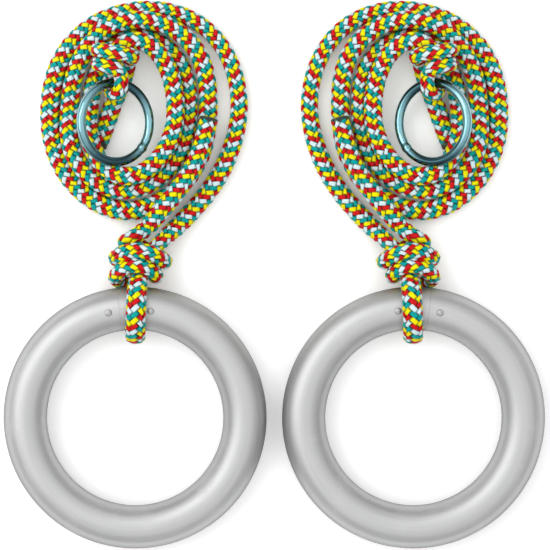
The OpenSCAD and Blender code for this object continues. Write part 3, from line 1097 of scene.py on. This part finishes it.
@dataclass
class BraidedRope(Piece):
    """A rope of sixteen yarns, plaited two over two, as one closed skin of raised floats.

    A crossing of two yarns is a cell of the skin. Its place round the rope is counted in
    sixteenths of a turn, and its place along the rope in rows, sixteenths of a yarn's pitch.

    Attributes:
        route: The way that the rope lies.
        diameter: Diameter of the slack rope.
        pitch: Length of rope in which a yarn goes once round.
        crest: How far the floats stand out of the rope's own diameter.
        groove: Depth of the grooves at the ends of the floats.
        side_share: Height of a float's long sides, as a share of that depth.
        crown_power: How flat a float is across its middle.
        end_power: How flat it is along its middle.
        uneven: How much the floats' heights vary, as a share of that depth.
        uneven_seed: The seed of those heights.
        uneven_count: How many of them there are before they come again.
        fibre_count: How many floats differ in their filaments.
        bias: How much wider the floats that lean one way are drawn, as a share of their width.
        carriers: How many yarns wind each way.
        colour_shift: How many yarns the colours of one way are behind those of the other.
        cell_parts: Parts of a cell's side.
        cell_ticks: Where the skin has vertices on a cell's sides, in those parts.
        curve_steps: Points of the drawn curve for each of the route's.
        line_step: Distance between the points of the rope's middle line.
        tight_ease: Length over which that line is smoothed where the rope is drawn tight.
        slack_ease: Length over which it is smoothed where the rope lies free.
        slack_share: The share of its diameter from which the rope counts as lying free.
        size_ease: Length over which the rope's width and thickness change.
        seam_column: A seam between two columns of floats, counted round the rope.
        seam_turns: Shares of the length, and how far that seam has rolled from the top, in degrees.
        seam_share: The share at which the top is found, where the rope lies flat by the coil.
        pressed: Shares of the length, and the factor on the rope's thickness there.
        cap_profile: Radius and rise of each ring of a sealed end, in millimetres.
        cap_share: Size of a sealed end on its map, as a share of the room there.
        bake_rows: Number of strips that the skin is laid out in.
        bake_spare: Height kept for the sealed ends, in strips.
        bake_margin: Margin of a strip, in cells.
    """

    name = "braided_rope"
    body = "rope"
    nodes = (
        "ring_loop", "ring_knot", "rope_tail", "rope_lead", "rope_coil", "eye_bend", "eye_knot", "eye_loop",
        "eye_tail",
    )
    slot = Slot.ROPE
    finishes = (*[YARNS[yarn] for yarn in Yarn], MELTED)

    route: RopeRoute
    diameter: float = 12.0 * MM
    pitch: float = 28.4 * MM
    crest: float = 0.4 * MM
    groove: float = 1.4 * MM
    side_share: float = 0.6
    crown_power: float = 2.5
    end_power: float = 4.0
    uneven: float = 0.15
    uneven_seed: int = 7
    uneven_count: int = 4096
    fibre_count: int = 97
    bias: float = 0.25
    carriers: int = 8
    colour_shift: int = 1
    cell_parts: int = 8
    cell_ticks: tuple[int, ...] = (0, 2, 6, 8)
    curve_steps: int = 10
    line_step: float = 0.6 * MM
    tight_ease: float = 2.4 * MM
    slack_ease: float = 9.0 * MM
    slack_share: float = 0.99
    size_ease: float = 5.0 * MM
    seam_column: float = 3.5
    seam_turns: tuple[Span, ...] = (
        (0.0, 0), (0.2, -45), (0.26, -10), (0.3, 2), (0.45, 24), (0.6, 10), (0.8, 24), (1.0, 0),
    )
    seam_share: float = 0.262
    pressed: tuple[Span, ...] = (
        (0.0, 1.0), (0.28, 1.0), (0.33, 0.88), (0.36, 0.9), (0.41, 1.04), (0.47, 1.04), (0.55, 0.97),
        (0.65, 1.0), (0.75, 0.97), (1.0, 1.0),
    )
    cap_profile: tuple[Span, ...] = ((6.0, 0.4), (5.8, 1.0), (4.8, 1.5), (2.4, 1.8))
    cap_share: float = 0.9
    bake_rows: int = 6
    bake_spare: float = 0.4
    bake_margin: float = 1.4

    def __post_init__(self) -> None:
        """Work out the centreline, its directions and the sizes along it."""
        hinge = joint_of("left_ring_swing")["pos_m"]
        stretches = self.route.stretches()
        points = np.vstack([points for points, _ in stretches]) * MM + (hinge[0], hinge[1], 0)
        sizes = np.vstack([np.tile(size, (len(points), 1)) for points, size in stretches]) * MM
        curve = smooth_curve(points, self.curve_steps)
        done = along(curve)
        line = evenly_spaced(curve, self.line_step)
        at = along(line) * done[-1] / along(line)[-1]
        sizes = read_at(at, done[:: self.curve_steps], sizes)
        slack = (sizes.min(1, keepdims=True) > self.slack_share * self.diameter).astype(float)
        slack = eased(slack, self.slack_ease / self.line_step)
        tight_line = eased(line, self.tight_ease / self.line_step)
        slack_line = eased(line, self.slack_ease / self.line_step)
        self.line = tight_line + slack**2 * (slack_line - tight_line)
        self.done = along(self.line)
        self.length = float(self.done[-1])
        share, width = np.transpose(self.pressed)
        self.sizes = eased(sizes, self.size_ease / self.line_step) / self.diameter
        self.sizes = self.sizes * np.interp(self.done / self.length, share, width)[:, None]
        self.heading = unit(np.gradient(self.line, axis=0))
        self.sides = carried_sides(self.line, self.heading)
        flat = np.searchsorted(self.done, self.seam_share * self.length)
        up = math.atan2(np.cross(self.heading[flat], self.sides[flat])[2], self.sides[flat, 2])
        self.roll = up - math.pi * self.seam_column / self.carriers

    def at(self, values: Array, place: Array) -> Array:
        """Values along the rope, read at other places along it."""
        return read_at(place, self.done, values)

    def surface(self, place: Array, turn: Array, radius: Array) -> Array:
        """Points of the rope's skin.

        Args:
            place: How far along the rope each point is.
            turn: Its angle round the rope.
            radius: Its distance from the middle of a slack, round rope.

        Returns:
            The points, on the rope as it lies and as it is pressed.
        """
        heading = unit(self.at(self.heading, place))
        side = self.at(self.sides, place)
        side = unit(side - (side * heading).sum(1, keepdims=True) * heading)
        share, seam = np.transpose(self.seam_turns)
        turn = turn + self.roll + np.radians(np.interp(place / self.length, share, seam))
        out = swept(turn, side, np.cross(heading, side))
        size = self.at(self.sizes, place)
        flat = np.zeros_like(out)
        flat[:, 0] = out[:, 0]
        out = out * size[:, 1:] + flat * (size[:, :1] - size[:, 1:])
        points = self.at(self.line, place) + radius[:, None] * out
        points[:, 2] = np.maximum(points[:, 2], 0.0)
        return points

    def lift(self, length_on: Array, width_on: Array, number: Array) -> Array:
        """How high the floats stand, from 0 in the grooves to 1 on the crests.

        Args:
            length_on: The place of each cell's vertices along its float, from 0 to 2.
            width_on: Their place across the float, from 0 to 1.
            number: The number of each cell's float.

        Returns:
            The height at each vertex of each cell.
        """
        crown = 1 - np.abs(2 * width_on - 1) ** self.crown_power
        end = 1 - np.abs(length_on - 1) ** self.end_power
        shake = np.random.default_rng(self.uneven_seed).uniform(-1, 0, self.uneven_count)
        shake = shake[number % self.uneven_count]
        high = end * (self.side_share + (1 - self.side_share) * crown)
        return high * (1 + self.uneven * shake)[:, None]

    def shape(self) -> Shape:
        """The braided skin with its sealed ends.

        Returns:
            The mesh of the left rope, with one finish for each yarn and one for the ends.
        """
        around, parts = 2 * self.carriers, self.cell_parts
        row_step = self.pitch / around
        rows = np.arange(1, int(self.length / row_step) - 1)
        row = np.repeat(rows, self.carriers)
        column = 2 * np.tile(np.arange(self.carriers), len(rows)) + row % 2
        phase = column % 4
        rising = phase < 2
        yarn = np.where(rising, column - row, column + row) // 2
        colour = np.where(rising, -yarn, yarn + self.colour_shift) % len(Yarn)
        number = yarn * around + column // 2

        ticks = np.array(self.cell_ticks)
        first, second = (grid.ravel() for grid in np.meshgrid(ticks, ticks, indexing="ij"))
        chi = parts * column[:, None] + (first + second - parts)
        sigma = parts * row[:, None] + (first - second)
        length_on = np.where(rising[:, None], first, second) / parts + (phase % 2)[:, None]
        width_on = np.where(rising[:, None], second, first) / parts

        wrap = parts * around
        keys = (sigma + parts) * wrap + chi % wrap
        found, vertex = np.unique(keys.ravel(), return_inverse=True)
        low = np.ones(len(found))
        np.minimum.at(low, vertex, self.lift(length_on, width_on, number).ravel())
        place = (found // wrap / parts - 1) * row_step
        cell = (found % wrap) / parts
        cell = cell + self.bias * 2 / math.pi * np.sin(math.pi / 2 * (cell - 0.5))
        turn = cell * math.tau / around
        points = self.surface(place, turn, self.diameter / 2 + self.crest - self.groove * (1 - low))

        count = len(ticks)
        start = (np.arange(count - 1)[:, None] * count + np.arange(count - 1)).ravel()
        corner = np.stack([start, start + 1, start + count + 1, start + count], axis=1)
        quads = vertex.reshape(keys.shape)[:, corner].reshape(-1, 4)
        fibre = np.stack([width_on, length_on + 2 * (number % self.fibre_count)[:, None]], axis=-1)
        bake = self.bake_places(chi / parts, sigma / parts, row, len(rows) + 2)
        maps = {FIBRE_MAP: fibre[:, corner].reshape(-1, 2), BAKE_MAP: bake[:, corner].reshape(-1, 2)}
        skin = Shape(points, [quads], np.repeat(colour, len(corner)), maps)

        rim = open_rim(quads)
        for last in (False, True):
            loop = rim[(place[rim] > self.length / 2) == last]
            loop = loop[np.argsort(turn[loop])]
            self.seal(skin, loop, turn[loop], last)
        return skin

    def seal(self, skin: Shape, loop: Array, angle: Array, last: bool) -> None:
        """Close one end of the skin with a cap of melted yarn.

        Args:
            skin: The skin, which the cap is added to.
            loop: The vertices round its open end.
            angle: Their angles round the rope.
            last: Whether it is the end at the steel ring.
        """
        end = np.full(len(loop), self.length if last else 0.0)
        away = self.heading[-1] if last else -self.heading[0]
        rings = [loop]
        for radius, rise in self.cap_profile:
            rings.append(len(skin.points) + np.arange(len(loop)))
            ring = self.surface(end, angle, np.full(len(loop), radius * MM))
            skin.points = np.vstack([skin.points, ring + rise * MM * away])
        room = self.bake_spare / (self.bake_rows + self.bake_spare) / 2
        places = {}
        for index, ring in enumerate(rings):
            reach = self.cap_share * room * (1 - index / len(rings))
            x = room * (3 if last else 1) + reach * np.cos(angle)
            places |= dict(zip(ring, zip(x, 1 - room + reach * np.sin(angle))))
        strips = [
            np.stack([near, np.roll(near, -1), np.roll(far, -1), far], axis=1)
            for near, far in zip(rings, rings[1:])
        ]
        for faces in (*strips, rings[-1][None, :]):
            faces = faces if last else faces[:, ::-1]
            skin.add(faces, len(Yarn), np.array([places[vertex] for vertex in faces.ravel()]))

    def bake_places(self, chi: Array, sigma: Array, row: Array, rows: int) -> Array:
        """Lay the skin out flat, in strips under each other.

        Args:
            chi: Each corner's place round the rope, in cells.
            sigma: Its place along the rope, in rows of cells.
            row: The row of each cell.
            rows: How many rows there are.

        Returns:
            Each corner's place on the map, from 0 to 1.
        """
        margin = self.bake_margin
        strip = math.ceil(rows / self.bake_rows)
        index = row // strip
        across = (sigma - (index * strip)[:, None] + margin) / (strip + 2 * margin)
        high = 2 * self.carriers + 2 * margin
        up = (index[:, None] + (chi + margin) / high) / (self.bake_rows + self.bake_spare)
        return np.stack([across, up], axis=-1)

    def declare(self, rope: bpy.types.Object, side: Side, fittings: list[bpy.types.Object]) -> None:
        """Do nothing: no cord is declared for the rope here.

        Args:
            rope: The rope; not used.
            side: The set that it belongs to; not used.
            fittings: The pieces on its far end; not used.
        """


@dataclass
class HandRing(Piece):
    """The bent tube that the gymnast holds, with its butt joint beside the rope's loop.

    Attributes:
        ring_r: Radius of the ring, to the middle of its tube.
        tube_r: Outer radius of the tube.
        bore_r: Inner radius of the tube.
        butt_offset: Distance of the butt joint from the middle of the loop.
        butt_gap: Gap between the tube's two ends.
        edge: Rounding of the tube's cut edges.
        rings: Rings of vertices along the outside.
        edge_rings: Rings on each rounded edge.
        bore_rings: Rings along the bore.
        sides: Vertices round the tube.
    """

    name = "hand_ring_tube"
    body = "hand_ring"
    nodes = ("ring_tube",)
    slot = Slot.RING
    finishes = (SILVER,)

    ring_r: float = 71.0 * MM
    tube_r: float = 14.0 * MM
    bore_r: float = 11.0 * MM
    butt_offset: float = 9.5 * MM
    butt_gap: float = 0.05 * MM
    edge: float = 0.08 * MM
    rings: int = 320
    edge_rings: int = 4
    bore_rings: int = 60
    sides: int = 72

    def __post_init__(self) -> None:
        """Work out where the ring lies from its hinge in the frame."""
        hinge = np.array(joint_of("left_ring_swing")["pos_m"])
        tilt = math.asin((hinge[2] - self.tube_r) / (2 * self.ring_r))
        self.upwards = np.array([0.0, math.cos(tilt), math.sin(tilt)])
        self.normal = np.array([0.0, -math.sin(tilt), math.cos(tilt)])
        self.middle = hinge - self.ring_r * self.upwards

    def outwards(self, angle: Array) -> Array:
        """The direction from the ring's middle at an angle to the left of the loop's middle."""
        return swept(angle, self.upwards, np.array([-1.0, 0.0, 0.0]))

    def shape(self) -> Shape:
        """The bent tube, with its bore and its two cut ends.

        Returns:
            The mesh of the left ring.
        """
        bevel = np.radians(np.linspace(0, 90, self.edge_rings))
        back = self.edge * (1 - np.sin(bevel)) / self.ring_r
        cut = self.tube_r - self.edge * (1 - np.cos(bevel))
        gap = self.butt_gap / self.ring_r
        start = math.asin(self.butt_offset / self.ring_r) + gap / 2
        end = start + math.tau - gap
        hold = 2 * self.edge / self.ring_r
        outside = np.linspace(start + hold, end - hold, self.rings)
        inside = np.linspace(end, start, self.bore_rings)
        angle = np.concatenate([start + back[::-1], outside, end - back, inside])
        skin = np.full(self.rings, self.tube_r)
        bore = np.full(self.bore_rings, self.bore_r)
        radius = np.concatenate([cut[::-1], skin, cut, bore])
        radius = np.repeat(radius[:, None], self.sides, axis=1)
        out = self.outwards(angle)
        places = np.append(angle, angle[0]) * self.ring_r
        spine = self.middle + self.ring_r * out
        return bent_tube(spine, out, self.normal, radius, places, math.tau * self.tube_r)

    def dress_sleeve(self, side: Side) -> None:
        """Give the sleeve inside the tube its finish.

        Args:
            side: The set that it belongs to.
        """
        sleeve = frame["nodes"][side.named("joint_plug")]
        sleeve.data.materials.clear()
        sleeve.data.materials.append(SLEEVE.material())


@dataclass
class Rivets(Piece):
    """The two domed rivets that hold the tube's ends on their sleeve.

    Attributes:
        ring: The hand ring that they sit on.
        offsets: Distances from the middle of the loop, to the left and to the right.
        head_r: Radius of a head.
        head_h: Height of a head.
        skirt_share: Height of a head's straight rim, as a share of its own.
        under_share: Radius of its underside, as a share of its own.
        flat_top: Angle from a dome's top at which its flat starts, in radians.
        shank_r: Radius of a shank.
        grip: Length of a shank below its head.
        sides: Vertices round a rivet.
        dome_rings: Rings of vertices on a dome.
    """

    name = "rivet_heads"
    body = "hand_ring"
    nodes = ("rivets",)
    slot = Slot.RIVET
    finishes = (RIVET,)

    ring: HandRing
    offsets: Span = (16.5 * MM, -10.5 * MM)
    head_r: float = 2.2 * MM
    head_h: float = 1.2 * MM
    skirt_share: float = 0.3
    under_share: float = 0.96
    flat_top: float = 0.08
    shank_r: float = 1.4 * MM
    grip: float = 6.0 * MM
    sides: int = 40
    dome_rings: int = 9

    def shape(self) -> Shape:
        """Both rivets, each turned about its own axis.

        Returns:
            The mesh of the left ring's rivets.
        """
        arch = np.linspace(math.pi / 2, self.flat_top, self.dome_rings)
        skirt = self.skirt_share * self.head_h
        dome = np.stack([np.sin(arch) * self.head_r, skirt + np.cos(arch) * (self.head_h - skirt)], axis=1)
        foot = [(self.shank_r, -self.grip), (self.shank_r, 0.0), (self.head_r * self.under_share, 0.0)]
        profile = np.vstack([foot, dome])
        normal = self.ring.normal
        points, quads, caps = [], [], []
        for index, offset in enumerate(self.offsets):
            angle = np.array(math.asin(offset / self.ring.ring_r))
            out = self.ring.outwards(angle)
            seat = self.ring.middle + self.ring.ring_r * out + self.ring.tube_r * normal
            spoke = swept(full_turn(self.sides), out, np.cross(normal, out))
            rings = seat + profile[:, 0, None, None] * spoke + profile[:, 1, None, None] * normal
            first = index * len(profile) * self.sides
            points.append(rings.reshape(-1, 3))
            quads.append(wrapped_grid(len(profile), self.sides, closed=False)[:, ::-1] + first)
            caps.append(first + np.arange(self.sides)[::-1])
            caps.append(first + (len(profile) - 1) * self.sides + np.arange(self.sides))
        faces = [np.vstack(quads), np.array(caps)]
        return Shape(np.vstack(points), faces, np.zeros(sum(map(len, faces)), int), {})


@dataclass
class SteelRing(Piece):
    """The welded ring of steel wire in the rope's eye.

    Attributes:
        ring_r: Radius of the ring, to the middle of its wire.
        wire_r: Radius of the wire.
        weld_angle: Place of the weld round the ring, in degrees from its right side.
        weld_rise: Height of the weld bead over the wire.
        weld_width: Half the width of the weld bead along the wire.
        ripples: Waves in the bead round the wire, their height as a share of its own, and their start.
        undercut: Depth of the grooves beside the bead.
        undercut_at: Their distance from the bead's middle, in halves of its width.
        undercut_power: How narrow they are.
        rings: Rings of vertices along the wire.
        sides: Vertices round the wire.
    """

    name = "welded_ring"
    body = "steel_ring"
    nodes = ("steel_ring",)
    slot = Slot.STEEL
    finishes = (ZINC,)

    ring_r: float = 25.5 * MM
    wire_r: float = 3.0 * MM
    weld_angle: float = -39.0
    weld_rise: float = 0.4 * MM
    weld_width: float = 1.6 * MM
    ripples: tuple[tuple[int, float, float], ...] = ((3, 0.25, 1.0), (7, 0.15, 0.0))
    undercut: float = 0.12 * MM
    undercut_at: float = 2.0
    undercut_power: float = 4.0
    rings: int = 240
    sides: int = 36

    def shape(self) -> Shape:
        """The bent wire with its weld bead.

        Returns:
            The mesh of the left set's steel ring.
        """
        joint = joint_of("left_steel_swing")
        ahead = np.array([0.0, 1.0, 0.0])
        right = -np.array(joint["axis"], float)
        middle = np.array(joint["pos_m"]) - self.ring_r * ahead
        angle, turn = full_turn(self.rings), full_turn(self.sides)
        from_weld = (angle - math.radians(self.weld_angle) + math.pi) % math.tau - math.pi
        reach = (from_weld * self.ring_r / self.weld_width)[:, None]
        ripple = 1 + sum(share * np.sin(waves * turn + start) for waves, share, start in self.ripples)
        bead = self.weld_rise * np.exp(-(reach**2)) * ripple
        groove = self.undercut * np.exp(-((np.abs(reach) - self.undercut_at) ** 2) * self.undercut_power)
        out = swept(angle, right, ahead)
        places = np.linspace(0, math.tau, self.rings + 1) * self.ring_r
        spine = middle + self.ring_r * out
        radius = self.wire_r + bead - groove
        return bent_tube(spine, out, np.cross(right, ahead), radius, places, math.tau * self.wire_r)


@dataclass
class Studio:
    """The camera above the rings, the white floor and the soft light.

    Attributes:
        view_width: Width of the picture at the height of the ropes.
        aim: The point on the surface in the middle of the picture.
        camera_height: Height of the camera.
        camera_reach: How far the camera sees.
        subject_height: Height at which the picture's width is measured.
        sensor: Width of the camera's sensor, in millimetres.
        floor_half: Half the width of the floor.
        floor_drop: How far the floor lies below what stands on it.
        floor_shade: How much light the floor gives back.
        floor_glow: What the floor adds to that where it is seen, so that it is white.
        floor_clear: Within this distance of a piece the floor adds less, so that gaps stay dark.
        floor_rays: How many rays look for such a piece.
        sky: Brightness of the light tent, by the sine of the height in it.
        sky_light: What that brightness is multiplied by.
        lamps: Place, size and power of each lamp.
    """

    view_width: float = 356.4 * MM
    aim: Span = (0.45 * MM, 92.3 * MM)
    camera_height: float = 2.6
    camera_reach: float = 50.0
    subject_height: float = 14.0 * MM
    sensor: float = 36.0
    floor_half: float = 8.0
    floor_drop: float = 0.1 * MM
    floor_shade: float = 0.96
    floor_glow: float = 0.36
    floor_clear: float = 20.0 * MM
    floor_rays: int = 4
    sky: tuple[Span, ...] = (
        (0.0, 0.75), (0.07, 0.7), (0.14, 0.2), (0.3, 0.32), (0.6, 0.84), (0.8, 1.0), (1.0, 1.0),
    )
    sky_light: float = 1.1
    lamps: tuple = (((-1.75, 0.35, 1.75), 2.0, 13.0), ((-0.9, 1.2, 2.0), 1.0, 5.0))

    def camera(self) -> None:
        """Set the camera straight above, with the ropes' far ends towards the picture's top."""
        data = bpy.data.cameras.new("camera")
        data.sensor_width = self.sensor
        data.lens = self.sensor * (self.camera_height - self.subject_height) / self.view_width
        data.clip_end = self.camera_reach
        made = in_scene("camera", data)
        made.location = (*self.aim, self.camera_height)
        bpy.context.scene.camera = made

    def floor_material(self) -> bpy.types.Material:
        """Make the white floor's material.

        Returns:
            The material, which glows a little where a camera, a gloss or a glass sees it.
        """
        material = bpy.data.materials.new("white_floor")
        sheet = NodeSheet.blank(material)
        matt = sheet.add("BsdfDiffuse", {"Color": (*[self.floor_shade] * 3, 1)})
        ray = sheet.add("LightPath").outputs
        seen = sheet.math("MAXIMUM", ray["Is Camera Ray"], ray["Is Glossy Ray"])
        seen = sheet.math("MAXIMUM", seen, ray["Is Transmission Ray"])
        clear = sheet.add("AmbientOcclusion", {"Distance": self.floor_clear}, samples=self.floor_rays)
        seen = sheet.math("MULTIPLY", seen, clear.outputs["AO"])
        glow = sheet.add("Emission", {"Strength": sheet.math("MULTIPLY", seen, self.floor_glow)})
        both = sheet.add("AddShader", {0: matt.outputs[0], 1: glow.outputs[0]})
        sheet.add("OutputMaterial", {"Surface": both.outputs[0]})
        return material

    def floor(self) -> None:
        """Lay the white floor."""
        half, low = self.floor_half, -self.floor_drop
        corners = [(-half, -half, low), (half, -half, low), (half, half, low), (-half, half, low)]
        mesh = bpy.data.meshes.new("floor")
        mesh.from_pydata(corners, [], [(0, 1, 2, 3)])
        mesh.materials.append(self.floor_material())
        in_scene("floor", mesh)

    def tent(self) -> None:
        """Light the scene from a pale tent that is brightest overhead."""
        world = bpy.data.worlds.new("light_tent")
        bpy.context.scene.world = world
        sheet = NodeSheet.blank(world)
        height = sheet.add("SeparateXYZ", {0: sheet.add("TexCoord").outputs["Generated"]}).outputs[2]
        ramp = sheet.add("ValToRGB", {0: height})
        while len(ramp.color_ramp.elements) < len(self.sky):
            ramp.color_ramp.elements.new(1.0)
        for stop, (place, light) in zip(ramp.color_ramp.elements, self.sky):
            stop.position = place
            stop.color = (light, light, light, 1)
        light = sheet.add("Background", {"Color": ramp.outputs[0], "Strength": self.sky_light})
        sheet.add("OutputWorld", {"Surface": light.outputs[0]})

    def lamp(self, place: tuple[float, float, float], size: float, power: float) -> None:
        """Hang one round lamp.

        Args:
            place: Where it hangs; it is turned to the middle of the picture.
            size: Its diameter.
            power: Its power.
        """
        data = bpy.data.lights.new("lamp", "AREA")
        data.shape, data.size, data.energy = "DISK", size, power
        made = in_scene("lamp", data)
        made.location = place
        x, y, z = np.array([*self.aim, 0.0]) - place
        made.rotation_euler = (math.atan2(math.hypot(x, y), -z), 0.0, math.atan2(y, x) - math.pi / 2)

    def build(self) -> None:
        """Set up the whole studio."""
        bpy.context.scene.view_settings.view_transform = "Standard"
        self.camera()
        self.floor()
        self.tent()
        for lamp in self.lamps:
            self.lamp(*lamp)


def main() -> None:
    """Build the studio and both sets, and report each piece."""
    logging.basicConfig(level=logging.INFO, format="%(name)s: %(message)s")
    Studio().build()
    rope = BraidedRope(RopeRoute())
    ring = HandRing()
    for side in Side:
        steel = SteelRing().build(side)
        braid = rope.build(side)
        rope.declare(braid, side, [steel])
        pieces = [braid, steel, ring.build(side), Rivets(ring).build(side)]
        ring.dress_sleeve(side)
        for piece in pieces:
            log.info("%s: %d faces", piece.name, len(piece.data.polygons))
    log.info("each rope is %.3f m long", rope.length)


if __name__ == "__main__":
    main()
